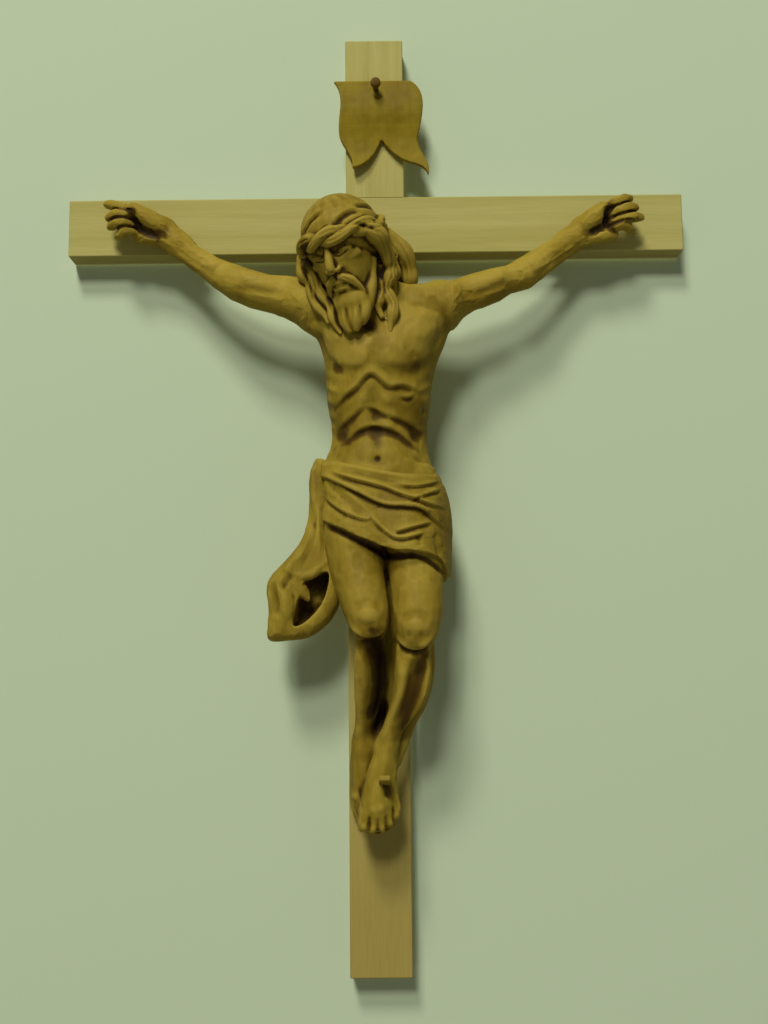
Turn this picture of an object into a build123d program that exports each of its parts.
"""Wall crucifix: a plain half-lapped cross of planed lime wood, a carved figure made of glued blocks
and a small scroll that hangs on one peg.

Frame: the origin is the centre of the keyhole in the hanger plate, on the flat back of the cross.
+X is to the right as seen from the front, +Y goes into the wall, +Z is up. Millimetres.
"""

from build123d import *
import os

# Cross: two planed battens joined flush by a half lap.
beam_width = 40.0
beam_thickness = 18.0
upright_height = 632.0
crossbeam_length = 422.0
upright_head = 114.4  # crossbeam's top edge up to the upright's top
beam_edge_round = 1.0
lap_depth = 9.0  # taken out of the upright's front and left on the crossbeam

# Hanger: a steel keyhole plate let in flush with the back of the upright.
hanger_drop = 30.0  # upright's top down to the keyhole's centre
plate_length = 46.0
plate_width = 16.0
plate_thickness = 1.5
plate_clearance = 0.1
keyhole_diameter = 9.0
keyhole_slot_width = 4.5
keyhole_slot_rise = 9.0
keyhole_cavity_width = 12.0
keyhole_cavity_depth = 8.0
hanger_screw_spacing = 36.0
hanger_screw_diameter = 2.5
hanger_screw_head = 4.8
hanger_screw_length = 12.0

# Screws that hold the lap and the figure, all driven from behind.
lap_screw_spacing = 20.0
lap_screw_diameter = 3.5
lap_screw_head = 7.0
lap_screw_length = 15.0
figure_screw_diameter = 4.0
figure_screw_head = 8.0
figure_screw_length = 38.0
upper_figure_screw_drop = 50.0  # below the shoulder line
lower_figure_screw_drop = 128.0
screw_clearance = 0.1
head_recess = 0.2  # screw heads lie this far below the face that they are sunk in

# Scroll: a thin waved board on one round-headed peg.
scroll_width = 65.0
scroll_height = 70.5
scroll_thickness = 4.0
scroll_top_drop = 32.0  # upright's top down to the scroll's top edge
scroll_stand_off = 0.6  # upright's face to the nearest point of the scroll's back
scroll_wave = 7.0
scroll_left_reach = 28.3  # upright's centre line to the scroll's left corner
peg_drop = 7.2  # scroll's top edge down to its peg
peg_offset = 1.2
peg_diameter = 3.5
peg_head_diameter = 7.0
peg_head_length = 6.0
peg_stand_out = 8.0  # scroll's flat part out to the underside of the peg's head
peg_grip = 12.0  # length of the peg inside the upright
running_clearance = 0.05

# Figure: sizes of the main masses. The tables further down place the rest as shares of these.
body_length = 340.0  # shoulder line to the toes
shoulder_drop = 65.6  # crossbeam's centre line down to the shoulder line
figure_shift = 2.7  # the figure hangs this far right of the upright's centre line
chest_width = 82.0
chest_depth = 54.0
hip_width = 80.0
hip_depth = 48.0
shoulder_width = 91.5  # between the two arm seams
shoulder_height = 33.0
shoulder_thickness = 36.0
shoulder_gap = 8.0  # back of the shoulders to the cross
thigh_thickness = 40.0
shin_thickness = 22.0
foot_width = 24.0
foot_thickness = 15.0
toe_thickness = 5.2
arm_thickness = 24.0
wrist_reach = 141.2  # upright's centre line to the wrist
wrist_drop = 12.4  # crossbeam's centre line down to the wrist
wrist_depth = 11.0
hand_length = 46.0
hand_width = 25.0
hand_thickness = 12.0
finger_thickness = 6.2
head_width = 58.0
head_depth = 58.0
head_height = 94.0  # crown to the tip of the beard
head_lean = 21.7  # the crown hangs this far left of the figure's centre line
head_rise = 65.5  # shoulder line up to the crown
nose_width = 9.0
neck_width = 30.0
lock_thickness = 11.0
cloth_thickness = 2.5
cloth_height = 76.0  # waist edge down to the lowest hem
tail_length = 113.0
tail_width = 45.0
tail_thickness = 30.0
tail_drop = 2.0  # cloth's waist edge down to the top of its loose end
tail_seam = 36.0  # figure's centre line out to the rebate that the loose end is glued in

# Dowels and the wooden nail of the feet.
shoulder_dowel_diameter = 8.0
shoulder_dowel_length = 30.0
neck_dowel_diameter = 8.0
neck_dowel_length = 26.0
tail_dowel_diameter = 4.0
tail_dowel_length = 12.0
hand_dowel_diameter = 4.0
hand_dowel_length = 16.0
hand_dowel_in_beam = 10.0
foot_peg_diameter = 5.0
foot_peg_head = 7.5
foot_peg_head_length = 7.0
foot_peg_reach = 37.5  # cross's face out to the underside of the peg's head
foot_peg_in_upright = 12.0
glue_clearance = 0.05
cut_overrun = 5.0

# Levels and faces that the pieces share.
front_y = -beam_thickness
top_z = hanger_drop
bottom_z = top_z - upright_height
crossbeam_top_z = top_z - upright_head
crossbeam_z = crossbeam_top_z - beam_width / 2
shoulder_z = crossbeam_z - shoulder_drop
shoulder_depth = shoulder_gap + shoulder_thickness / 2
right_seam_x = figure_shift - shoulder_width / 2
left_seam_x = figure_shift + shoulder_width / 2
wrist_z = crossbeam_z - wrist_drop
scroll_top_z = top_z - scroll_top_drop
peg_z = scroll_top_z - peg_drop
waist_share = 0.30  # cloth's waist edge down the body
waist_z = shoulder_z - body_length * waist_share
tail_top_z = waist_z - tail_drop
tail_seam_x = figure_shift - tail_seam


# Shared shapes.
def in_front(x, depth, z):
    """A point that lies depth in front of the cross's face."""
    return Vector(x, front_y - depth, z)


def block(low, high):
    """A box between two opposite corners."""
    size = Vector(*high) - Vector(*low)
    return Pos(*low) * Box(size.X, size.Y, size.Z, align=(Align.MIN, Align.MIN, Align.MIN))


def rod(start, end, diameter, slack=0):
    """A round bar between two points; with slack it is the hole that such a bar needs."""
    axis = Vector(*end) - Vector(*start)
    middle = Plane(origin=Vector(*start) + axis / 2, z_dir=axis)
    return middle * Cylinder(diameter / 2 + slack, axis.length + 2 * slack)


def limb(stations, lead=None):
    """Oval sections square to a bent centre line, each (point, width, thickness), lofted into one limb.

    The first section is square to lead where it is given, so that the limb starts on a flat seam.
    """
    points = [point for point, _, _ in stations]
    faces = []
    for i, (point, width, thickness) in enumerate(stations):
        ahead = points[min(i + 1, len(points) - 1)]
        behind = points[max(i - 1, 0)]
        along = lead if lead and i == 0 else (ahead - behind).normalized()
        across = along.cross(Vector(0, -1, 0)).normalized()
        section = Plane(origin=point, x_dir=across, z_dir=along)
        faces.append(section * Ellipse(width / 2, thickness / 2))
    return loft(faces)


def wood_screw(x, z, diameter, head, length):
    """A countersunk screw driven from the back of the cross."""
    head_height = (head - diameter) / 2
    outline = Polyline(
        (0, 0),
        (head / 2, 0),
        (diameter / 2, head_height),
        (diameter / 2, length - diameter),
        (0, length),
        close=True,
    )
    return Pos(x, -head_recess, z) * Rot(180, 0, 0) * revolve(make_face(outline), Axis.Y)


def screw_hole(x, z, diameter, head, length):
    """The clearance hole and countersink of such a screw, open past its head."""
    wide = head / 2 + screw_clearance
    narrow = diameter / 2 + screw_clearance
    sink = (head - diameter) / 2
    outline = Polyline(
        (0, -cut_overrun),
        (wide, -cut_overrun),
        (wide, 0),
        (narrow, sink),
        (narrow, length + screw_clearance),
        (0, length + screw_clearance),
        close=True,
    )
    return Pos(x, -head_recess, z) * Rot(180, 0, 0) * revolve(make_face(outline), Axis.Y)


# Fasteners: their sizes and places.
hanger_screw_sizes = (hanger_screw_diameter, hanger_screw_head, hanger_screw_length)
lap_screw_sizes = (lap_screw_diameter, lap_screw_head, lap_screw_length)
figure_screw_sizes = (figure_screw_diameter, figure_screw_head, figure_screw_length)
sides = (-1, 1)
hanger_screw_places = [(0, side * hanger_screw_spacing / 2) for side in sides]
lap_screw_places = [
    (side * lap_screw_spacing / 2, crossbeam_z + side * lap_screw_spacing / 2) for side in sides
]
figure_screw_places = [
    (figure_shift, shoulder_z - upper_figure_screw_drop),
    (figure_shift, shoulder_z - lower_figure_screw_drop),
]


def make_screws(places, sizes):
    return Compound(children=[wood_screw(x, z, *sizes) for x, z in places])


# The cross.
def beam(low, high):
    """A batten with softened arrises."""
    return fillet(block(low, high).edges(), beam_edge_round)


def make_upright():
    post = beam((-beam_width / 2, front_y, bottom_z), (beam_width / 2, 0, top_z))
    post -= block(
        (-beam_width, front_y - cut_overrun, crossbeam_z - beam_width / 2),
        (beam_width, front_y + lap_depth, crossbeam_z + beam_width / 2),
    )
    post -= plate_outline(plate_thickness, plate_clearance)
    post -= keyhole_slot(keyhole_cavity_width, keyhole_cavity_depth)
    for x, z in hanger_screw_places:
        post -= screw_hole(x, z, *hanger_screw_sizes)
    for x, z in lap_screw_places:
        post -= screw_hole(x, z, *lap_screw_sizes)
    for x, z in figure_screw_places:
        post -= screw_hole(x, z, *figure_screw_sizes)
    post -= peg_shank(glue_clearance)
    post -= foot_peg_shank(glue_clearance)
    return post


def make_crossbeam():
    bar = beam(
        (-crossbeam_length / 2, front_y, crossbeam_z - beam_width / 2),
        (crossbeam_length / 2, 0, crossbeam_z + beam_width / 2),
    )
    bar -= block(
        (-beam_width / 2, front_y + lap_depth, crossbeam_z - beam_width),
        (beam_width / 2, cut_overrun, crossbeam_z + beam_width),
    )
    for x, z in lap_screw_places:
        bar -= screw_hole(x, z, *lap_screw_sizes)
    for side in sides:
        bar -= hand_dowel(side, glue_clearance)
    return bar


# The hanger.
back_view = Plane(origin=(0, 0, 0), x_dir=(1, 0, 0), z_dir=(0, -1, 0))


def plate_outline(depth, slack=0):
    outline = SlotOverall(plate_length + 2 * slack, plate_width + 2 * slack, rotation=90)
    return extrude(back_view * outline, depth)


def keyhole_slot(width, depth):
    """A slot that runs from the keyhole's centre upwards."""
    slot = SlotCenterToCenter(keyhole_slot_rise, width, rotation=90)
    return extrude(back_view * Pos(0, keyhole_slot_rise / 2) * slot, depth)


def make_hanger_plate():
    plate = plate_outline(plate_thickness)
    plate -= extrude(back_view * Circle(keyhole_diameter / 2), plate_thickness)
    plate -= keyhole_slot(keyhole_slot_width, plate_thickness)
    for x, z in hanger_screw_places:
        plate -= screw_hole(x, z, *hanger_screw_sizes)
    return plate


# The scroll. Its outline is seen from the front; x runs across its width and z down its height.
scroll_right_shares = [(0.815, 0.0), (0.925, 0.12), (0.945, 0.36), (0.89, 0.60)]
scroll_right_tail_shares = [(0.89, 0.60), (0.93, 0.72), (1.0, 0.87), (1.0, 1.0)]
scroll_right_arch_shares = [(1.0, 1.0), (0.93, 0.90), (0.78, 0.84), (0.63, 0.74), (0.51, 0.60)]
scroll_left_arch_shares = [(0.51, 0.60), (0.44, 0.74), (0.34, 0.85), (0.20, 0.91)]
scroll_left_shares = [(0.20, 0.91), (0.17, 0.76), (0.075, 0.60), (0.075, 0.30), (0.0, 0.0)]
wave_down_shares = [0.0, 0.35, 0.63, 1.0]
wave_out_shares = [0.0, 0.80, 0.10, 1.0]
scroll_reach = beam_thickness + scroll_stand_off + scroll_wave + scroll_thickness + cut_overrun


def scroll_edge(shares):
    """A stretch of the scroll's outline."""
    points = [
        (scroll_width * across - scroll_left_reach, scroll_top_z - scroll_height * down)
        for across, down in shares
    ]
    return Spline(points)


def make_scroll():
    right = scroll_edge(scroll_right_shares)
    left = scroll_edge(scroll_left_shares)
    edges = [
        Line(left @ 1, right @ 0),
        right,
        scroll_edge(scroll_right_tail_shares),
        scroll_edge(scroll_right_arch_shares),
        scroll_edge(scroll_left_arch_shares),
        left,
    ]
    outline = extrude(back_view * make_face(edges), scroll_reach)

    back = []
    for down, out in zip(wave_down_shares, wave_out_shares):
        stand_out = scroll_stand_off + scroll_wave * out
        back.append(Vector(front_y - stand_out, scroll_top_z - scroll_height * down))
    front = [point - Vector(scroll_thickness, 0) for point in back]
    wave = [
        Spline(back),
        Line(back[-1], front[-1]),
        Spline(front[::-1]),
        Line(front[0], back[0]),
    ]
    side_view = Plane(origin=(-scroll_width, 0, 0), x_dir=(0, 1, 0), z_dir=(1, 0, 0))
    sheet = extrude(side_view * make_face(wave), 2 * scroll_width)
    board = outline & sheet
    board -= peg_shank(running_clearance)
    return board


peg_head_y = front_y - scroll_stand_off - scroll_thickness - peg_stand_out


def peg_shank(slack=0):
    return rod((peg_offset, front_y + peg_grip, peg_z), (peg_offset, peg_head_y, peg_z), peg_diameter, slack)


def make_scroll_peg():
    """A whittled peg with a domed head that stands clear of the scroll."""
    rim = peg_head_diameter / 2
    dome = Spline(
        [(0, 0), (rim, peg_head_length / 2), (0, peg_head_length)],
        tangents=[(1, 0), (-1, 0)],
    )
    outline = make_face([dome, Line((0, peg_head_length), (0, 0))])
    core = (peg_offset, peg_head_y - peg_head_length / 2, peg_z)
    shank = rod((peg_offset, front_y + peg_grip, peg_z), core, peg_diameter)
    return shank + Pos(peg_offset, peg_head_y, peg_z) * Rot(180, 0, 0) * revolve(outline, Axis.Y)


# The body block: chest, shoulders, hips, cloth, legs and feet.
# Torso sections: down the body, sideways, width, back and front.
torso_shares = [
    (-0.02, 0.00, 0.70, 0.16, 0.74),
    (0.024, 0.01, 1.03, 0.02, 0.92),
    (0.076, 0.02, 1.00, -0.03, 1.00),
    (0.106, 0.01, 0.91, -0.03, 1.02),
    (0.165, -0.01, 0.84, -0.03, 0.98),
    (0.232, -0.01, 0.77, -0.02, 0.86),
    (0.300, -0.03, 0.83, -0.02, 0.88),
    (0.376, -0.01, 0.95, -0.03, 0.92),
    (0.450, 0.00, 0.92, 0.00, 0.88),
]
girdle_swell_share = 1.1  # shoulders' middle over their seams
# Cloth sections: down the cloth, width and front.
cloth_shares = [
    (-0.12, 0.78, 0.92),
    (0.12, 0.88, 0.98),
    (0.40, 1.00, 1.03),
    (0.70, 1.04, 1.06),
    (1.10, 1.00, 1.04),
]
cloth_top_slope_share = 0.17
cloth_hem_slope_share = 0.50
# Leg sections: down the body, sideways, depth, width and thickness.
right_thigh_shares = [
    (0.390, -0.24, 0.50, 1.00, 1.05),
    (0.485, -0.21, 0.60, 0.92, 0.95),
    (0.550, -0.16, 0.74, 0.78, 0.80),
    (0.615, -0.10, 0.87, 0.60, 0.64),
    (0.640, -0.095, 0.88, 0.40, 0.42),
]
left_thigh_shares = [
    (0.390, 0.23, 0.50, 1.04, 1.05),
    (0.485, 0.265, 0.61, 0.94, 0.95),
    (0.550, 0.275, 0.76, 0.82, 0.80),
    (0.624, 0.277, 0.91, 0.66, 0.68),
    (0.655, 0.26, 0.93, 0.42, 0.42),
]
right_shin_shares = [
    (0.605, -0.095, 0.80, 0.92, 0.92),
    (0.676, -0.095, 0.63, 0.90, 0.92),
    (0.735, -0.105, 0.50, 0.82, 0.86),
    (0.785, -0.145, 0.36, 0.60, 0.62),
    (0.825, -0.17, 0.28, 0.56, 0.62),
]
left_shin_shares = [
    (0.615, 0.265, 0.86, 0.98, 0.96),
    (0.685, 0.24, 0.79, 1.05, 0.94),
    (0.732, 0.215, 0.74, 1.05, 0.88),
    (0.776, 0.135, 0.66, 0.76, 0.74),
    (0.825, 0.045, 0.57, 0.66, 0.66),
]
right_foot_shares = [
    (0.815, -0.17, 0.27, 0.52, 0.90),
    (0.860, -0.17, 0.21, 0.66, 1.05),
    (0.912, -0.155, 0.145, 0.82, 1.00),
    (0.957, -0.14, 0.115, 0.84, 0.78),
    (0.985, -0.13, 0.10, 0.56, 0.50),
]
left_foot_shares = [
    (0.815, 0.05, 0.58, 0.62, 0.95),
    (0.860, 0.01, 0.545, 0.68, 1.02),
    (0.912, -0.02, 0.50, 0.88, 1.02),
    (0.960, -0.05, 0.45, 1.00, 0.74),
    (0.975, -0.055, 0.43, 0.96, 0.60),
]
toe_root_share = 0.966
toe_side_shares = [-0.42, -0.20, 0.01, 0.22, 0.41]
toe_length_shares = [0.020, 0.026, 0.028, 0.022, 0.014]
foot_peg_share = 0.895  # peg down the body
foot_peg_side_share = 0.011
foot_peg_x = figure_shift + hip_width * foot_peg_side_share
foot_peg_z = shoulder_z - body_length * foot_peg_share


def make_torso():
    faces = []
    for down, sideways, wide, back, front in torso_shares:
        middle = in_front(
            figure_shift + chest_width * sideways,
            chest_depth * (back + front) / 2,
            shoulder_z - body_length * down,
        )
        faces.append(Plane(origin=middle) * Ellipse(chest_width * wide / 2, chest_depth * (front - back) / 2))
    return loft(faces)


def seam_station(x):
    """The oval of an arm's seam, shared by the body block and the arm."""
    return in_front(x, shoulder_depth, shoulder_z), shoulder_height, shoulder_thickness


def make_girdle():
    """The shoulders, from one arm seam to the other."""
    swell = in_front(figure_shift, shoulder_depth, shoulder_z)
    middle = (swell, shoulder_height * girdle_swell_share, shoulder_thickness * girdle_swell_share)
    return limb([seam_station(right_seam_x), middle, seam_station(left_seam_x)])


def make_cloth():
    """The cloth wound round the hips, with a sloping upper edge and hem."""
    faces = []
    for down, wide, deep in cloth_shares:
        front = hip_depth * deep + cloth_thickness
        middle = in_front(figure_shift, (front - cloth_thickness) / 2, waist_z - cloth_height * down)
        width = hip_width * wide + 2 * cloth_thickness
        faces.append(Plane(origin=middle) * Ellipse(width / 2, (front + cloth_thickness) / 2))
    hem_z = waist_z - cloth_height + hip_width / 2 * cloth_hem_slope_share
    upper_edge = Plane(origin=(figure_shift, 0, waist_z), z_dir=(cloth_top_slope_share, 0, 1))
    hem = Plane(origin=(figure_shift, 0, hem_z), z_dir=(cloth_hem_slope_share, 0, 1))
    wrap = split(loft(faces), bisect_by=upper_edge, keep=Keep.BOTTOM)
    return split(wrap, bisect_by=hem, keep=Keep.TOP)


def leg_part(shares, wide_size, deep_size):
    stations = []
    for down, sideways, depth, wide, deep in shares:
        point = in_front(
            figure_shift + hip_width * sideways,
            chest_depth * depth,
            shoulder_z - body_length * down,
        )
        stations.append((point, wide_size * wide, deep_size * deep))
    return limb(stations)


def make_toes():
    """The five toes of the upper foot."""
    _, sideways, depth, _, _ = left_foot_shares[-1]
    toes = []
    for across, length in zip(toe_side_shares, toe_length_shares):
        root = in_front(
            figure_shift + hip_width * sideways + foot_width * across,
            chest_depth * depth,
            shoulder_z - body_length * toe_root_share,
        )
        tip = root - Vector(0, 0, body_length * length)
        toes.append(rod(root, tip, toe_thickness) + Pos(*tip) * Sphere(toe_thickness / 2))
    return toes


def behind_cross_face():
    """All that lies behind the cross's front face, where no carved block may reach."""
    return block((-upright_height, front_y, -upright_height), (upright_height, chest_depth, upright_height))


def shoulder_dowel(seam_x, slack=0):
    reach = Vector(shoulder_dowel_length / 2, 0, 0)
    seam = in_front(seam_x, shoulder_depth, shoulder_z)
    return rod(seam - reach, seam + reach, shoulder_dowel_diameter, slack)


neck_seat = in_front(
    figure_shift,
    chest_depth * (torso_shares[0][3] + torso_shares[0][4]) / 2,
    shoulder_z - body_length * torso_shares[0][0],
)


def neck_dowel(slack=0):
    reach = Vector(0, 0, neck_dowel_length / 2)
    return rod(neck_seat - reach, neck_seat + reach, neck_dowel_diameter, slack)


tail_dowel_share = 0.24  # dowel down the loose end


def tail_dowel(slack=0):
    reach = Vector(tail_dowel_length / 2, 0, 0)
    seam = in_front(tail_seam_x, hip_depth / 2, tail_top_z - tail_length * tail_dowel_share)
    return rod(seam - reach, seam + reach, tail_dowel_diameter, slack)


def foot_peg_shank(slack=0):
    start = (foot_peg_x, front_y + foot_peg_in_upright, foot_peg_z)
    return rod(start, in_front(foot_peg_x, foot_peg_reach, foot_peg_z), foot_peg_diameter, slack)


def make_foot_peg():
    """A square-headed wooden nail through both feet."""
    half = Vector(foot_peg_head / 2, 0, foot_peg_head / 2)
    under = in_front(foot_peg_x, foot_peg_reach, foot_peg_z)
    face = in_front(foot_peg_x, foot_peg_reach + foot_peg_head_length, foot_peg_z)
    return foot_peg_shank() + block(face - half, under + half)


def make_figure_body():
    body = make_torso() + make_girdle()
    body += leg_part(right_thigh_shares, thigh_thickness, thigh_thickness)
    body += leg_part(left_thigh_shares, thigh_thickness, thigh_thickness)
    body += make_cloth()
    body += leg_part(right_shin_shares, shin_thickness, shin_thickness)
    body += leg_part(left_shin_shares, shin_thickness, shin_thickness)
    body += leg_part(right_foot_shares, foot_width, foot_thickness)
    body += leg_part(left_foot_shares, foot_width, foot_thickness)
    for toe in make_toes():
        body += toe
    body -= behind_cross_face()
    body -= block(
        (tail_seam_x - hip_width, front_y - chest_depth - hip_depth, tail_top_z - tail_length),
        (tail_seam_x, front_y + cut_overrun, tail_top_z),
    )
    for seam_x in (right_seam_x, left_seam_x):
        body -= shoulder_dowel(seam_x, glue_clearance)
    body -= neck_dowel(glue_clearance)
    body -= tail_dowel(glue_clearance)
    body -= foot_peg_shank(glue_clearance)
    for x, z in figure_screw_places:
        body -= screw_hole(x, z, *figure_screw_sizes)
    return body


# The arms, each carved with its hand and butted on the body block at a flat seam.
# Arm sections: out along the arm, rise, depth, width and thickness.
arm_shares = [
    (0.14, 0.09, 0.05, 1.20, 1.25),
    (0.31, 0.20, 0.12, 1.04, 1.08),
    (0.48, 0.31, 0.22, 1.02, 1.04),
    (0.62, 0.47, 0.40, 0.96, 0.92),
    (0.77, 0.67, 0.65, 0.84, 0.80),
    (0.89, 0.85, 0.85, 0.68, 0.64),
    (1.00, 1.00, 1.00, 0.60, 0.54),
]
hand_rise_share = 0.43  # hands point up by this much for each step out
hand_dowel_share = 0.28  # dowel along the hand
# Palm sections: along the hand, across it, depth, width and thickness.
palm_shares = [
    (-0.06, 0.00, 0.92, 0.58, 1.05),
    (0.16, 0.00, 0.62, 0.84, 1.00),
    (0.36, 0.00, 0.52, 0.96, 0.84),
    (0.52, 0.00, 0.56, 0.88, 0.72),
]
# Finger bones, from the root out: along the hand, across it and depth.
finger_shares = [
    [(0.46, 0.30, 0.60), (0.68, 0.36, 0.98), (0.84, 0.38, 1.05), (0.96, 0.36, 0.85)],
    [(0.48, 0.11, 0.60), (0.72, 0.13, 1.06), (0.89, 0.14, 1.12), (1.00, 0.12, 0.90)],
    [(0.48, -0.10, 0.60), (0.71, -0.12, 1.06), (0.86, -0.14, 1.10), (0.97, -0.15, 0.88)],
    [(0.45, -0.31, 0.60), (0.63, -0.36, 0.98), (0.76, -0.40, 1.02), (0.85, -0.43, 0.84)],
    [(0.10, 0.26, 0.80), (0.30, 0.46, 1.02), (0.46, 0.52, 1.12), (0.58, 0.50, 1.15)],
]
finger_taper_shares = [1.10, 1.0, 0.92, 0.62]


def hand_point(side, along, across, depth):
    """A point of a hand: along it, across it towards the thumb, and in front of the beam."""
    out = Vector(side, 0, hand_rise_share).normalized()
    thumbwards = Vector(-side * out.Z, 0, side * out.X)
    return in_front(side * wrist_reach, depth, wrist_z) + out * along + thumbwards * across


def hand_dowel(side, slack=0):
    start = hand_point(side, hand_length * hand_dowel_share, 0, -hand_dowel_in_beam)
    return rod(start, start - Vector(0, hand_dowel_length, 0), hand_dowel_diameter, slack)


def make_hand(side):
    palm = []
    for along, across, depth, wide, deep in palm_shares:
        point = hand_point(side, hand_length * along, hand_width * across, hand_thickness * depth)
        palm.append((point, hand_width * wide, hand_thickness * deep))
    hand = limb(palm)
    for bones in finger_shares:
        finger = []
        for (along, across, depth), taper in zip(bones, finger_taper_shares):
            point = hand_point(side, hand_length * along, hand_width * across, hand_thickness * depth)
            finger.append((point, finger_thickness * taper, finger_thickness * taper))
        hand += limb(finger)
    return hand


def make_arm(side, seam_x):
    start, _, _ = seam_station(seam_x)
    reach = in_front(side * wrist_reach, wrist_depth, wrist_z) - start
    stations = [seam_station(seam_x)]
    for out, rise, depth, wide, deep in arm_shares:
        point = start + Vector(reach.X * out, reach.Y * depth, reach.Z * rise)
        stations.append((point, arm_thickness * wide, arm_thickness * deep))
    arm = limb(stations, lead=Vector(side, 0, 0)) + make_hand(side)
    arm -= behind_cross_face()
    arm -= shoulder_dowel(seam_x, glue_clearance)
    arm -= hand_dowel(side, glue_clearance)
    return arm


# The head with its hair and beard, on the neck's flat seat.
# Head sections: down from the crown, sideways, depth, width and thickness.
head_shares = [
    (0.00, 0.00, 0.68, 0.30, 0.30),
    (0.05, 0.00, 0.70, 0.60, 0.62),
    (0.16, -0.01, 0.75, 0.88, 0.92),
    (0.31, -0.02, 0.82, 0.98, 0.98),
    (0.46, -0.03, 0.90, 0.92, 0.90),
    (0.62, -0.02, 1.00, 0.76, 0.76),
    (0.78, 0.02, 1.10, 0.50, 0.54),
    (0.91, 0.05, 1.17, 0.30, 0.34),
    (1.00, 0.07, 1.20, 0.10, 0.12),
]
# Nose sections: down from the crown, sideways, depth and width.
nose_shares = [
    (0.42, -0.10, 1.33, 0.50),
    (0.54, -0.12, 1.40, 0.70),
    (0.62, -0.13, 1.45, 1.00),
    (0.655, -0.13, 1.39, 0.60),
]
neck_shares = [(0.0, 0.0, 0.0), (0.5, 0.45, 0.4), (1.0, 1.0, 1.0)]
# Locks of hair: down from the crown, sideways and depth.
lock_shares = [
    [(0.22, 0.44, 0.86), (0.45, 0.50, 0.76), (0.68, 0.52, 0.80), (0.90, 0.46, 0.94), (1.02, 0.38, 1.00)],
    [(0.30, -0.44, 0.86), (0.52, -0.46, 0.78), (0.72, -0.32, 0.82), (0.90, -0.12, 0.94), (1.02, -0.02, 1.00)],
    [(0.26, 0.36, 0.66), (0.40, 0.58, 0.64), (0.52, 0.74, 0.66), (0.60, 0.80, 0.68)],
]
lock_taper_shares = [1.0, 1.1, 1.0, 0.85, 0.4]


def head_point(down, sideways, depth):
    return in_front(
        figure_shift - head_lean + head_width * sideways,
        head_depth * depth,
        shoulder_z + head_rise - head_height * down,
    )


def make_head(body, arm):
    mass = []
    for down, sideways, depth, wide, deep in head_shares:
        mass.append((head_point(down, sideways, depth), head_width * wide, head_depth * deep))
    head = limb(mass)
    skull, _, _ = mass[len(mass) // 2]
    neck = []
    step = skull - neck_seat
    for rise, lean, forward in neck_shares:
        point = neck_seat + Vector(step.X * lean, step.Y * forward, step.Z * rise)
        neck.append((point, neck_width, neck_width))
    head += limb(neck, lead=Vector(0, 0, 1))
    nose = []
    for down, sideways, depth, wide in nose_shares:
        nose.append((head_point(down, sideways, depth), nose_width * wide, nose_width * wide))
    head += limb(nose)
    for places in lock_shares:
        lock = []
        for (down, sideways, depth), taper in zip(places, lock_taper_shares):
            lock.append((head_point(down, sideways, depth), lock_thickness * taper, lock_thickness * taper))
        head += limb(lock)
    head -= body
    head -= arm
    head -= neck_dowel(glue_clearance)
    return head


# The loose end of the cloth, hanging from the hip as a hollow fold.
# Sections: down its length, sideways and width.
tail_shares = [
    (-0.04, 0.00, 0.20),
    (0.12, -0.05, 0.26),
    (0.27, -0.05, 0.30),
    (0.40, -0.06, 0.34),
    (0.52, -0.16, 0.54),
    (0.66, -0.28, 0.86),
    (0.79, -0.34, 1.00),
    (0.91, -0.38, 0.86),
    (1.00, -0.44, 0.54),
]
tail_start = 1.5  # rebate out to the loose end's centre line
hollow_shares = [(1.08, -0.25, 0.62), (0.88, -0.20, 0.50), (0.74, -0.16, 0.26)]
hollow_depth_share = 1.28


def tail_stations(shares, depth):
    stations = []
    for down, sideways, wide in shares:
        point = in_front(
            tail_seam_x - tail_start + tail_width * sideways,
            depth,
            tail_top_z - tail_length * down,
        )
        stations.append((point, tail_width * wide, tail_thickness))
    return stations


def make_tail(body):
    tail = limb(tail_stations(tail_shares, hip_depth / 2))
    tail -= limb(tail_stations(hollow_shares, hip_depth / 2 * hollow_depth_share))
    tail -= block(
        (tail_seam_x - hip_width, front_y - chest_depth - hip_depth, tail_top_z),
        (tail_seam_x + hip_width, front_y + cut_overrun, shoulder_z),
    )
    tail -= body
    tail -= tail_dowel(glue_clearance)
    return tail


figure_body = make_figure_body()
right_arm = make_arm(-1, right_seam_x)
left_arm = make_arm(1, left_seam_x)
parts = {
    "upright": make_upright(),
    "crossbeam": make_crossbeam(),
    "lap_screws": make_screws(lap_screw_places, lap_screw_sizes),
    "hanger_plate": make_hanger_plate(),
    "hanger_screws": make_screws(hanger_screw_places, hanger_screw_sizes),
    "figure_screws": make_screws(figure_screw_places, figure_screw_sizes),
    "scroll": make_scroll(),
    "scroll_peg": make_scroll_peg(),
    "figure_body": figure_body,
    "right_arm": right_arm,
    "left_arm": left_arm,
    "shoulder_dowels": Compound(children=[shoulder_dowel(right_seam_x), shoulder_dowel(left_seam_x)]),
    "hand_dowels": Compound(children=[hand_dowel(side) for side in sides]),
    "head": make_head(figure_body, right_arm),
    "neck_dowel": neck_dowel(),
    "foot_peg": make_foot_peg(),
    "cloth_tail": make_tail(figure_body),
    "tail_dowel": tail_dowel(),
}

os.makedirs("parts", exist_ok=True)
for name, shape in parts.items():
    export_step(shape, f"parts/{name}.step")
    print(name, round(shape.volume), len(shape.solids()))
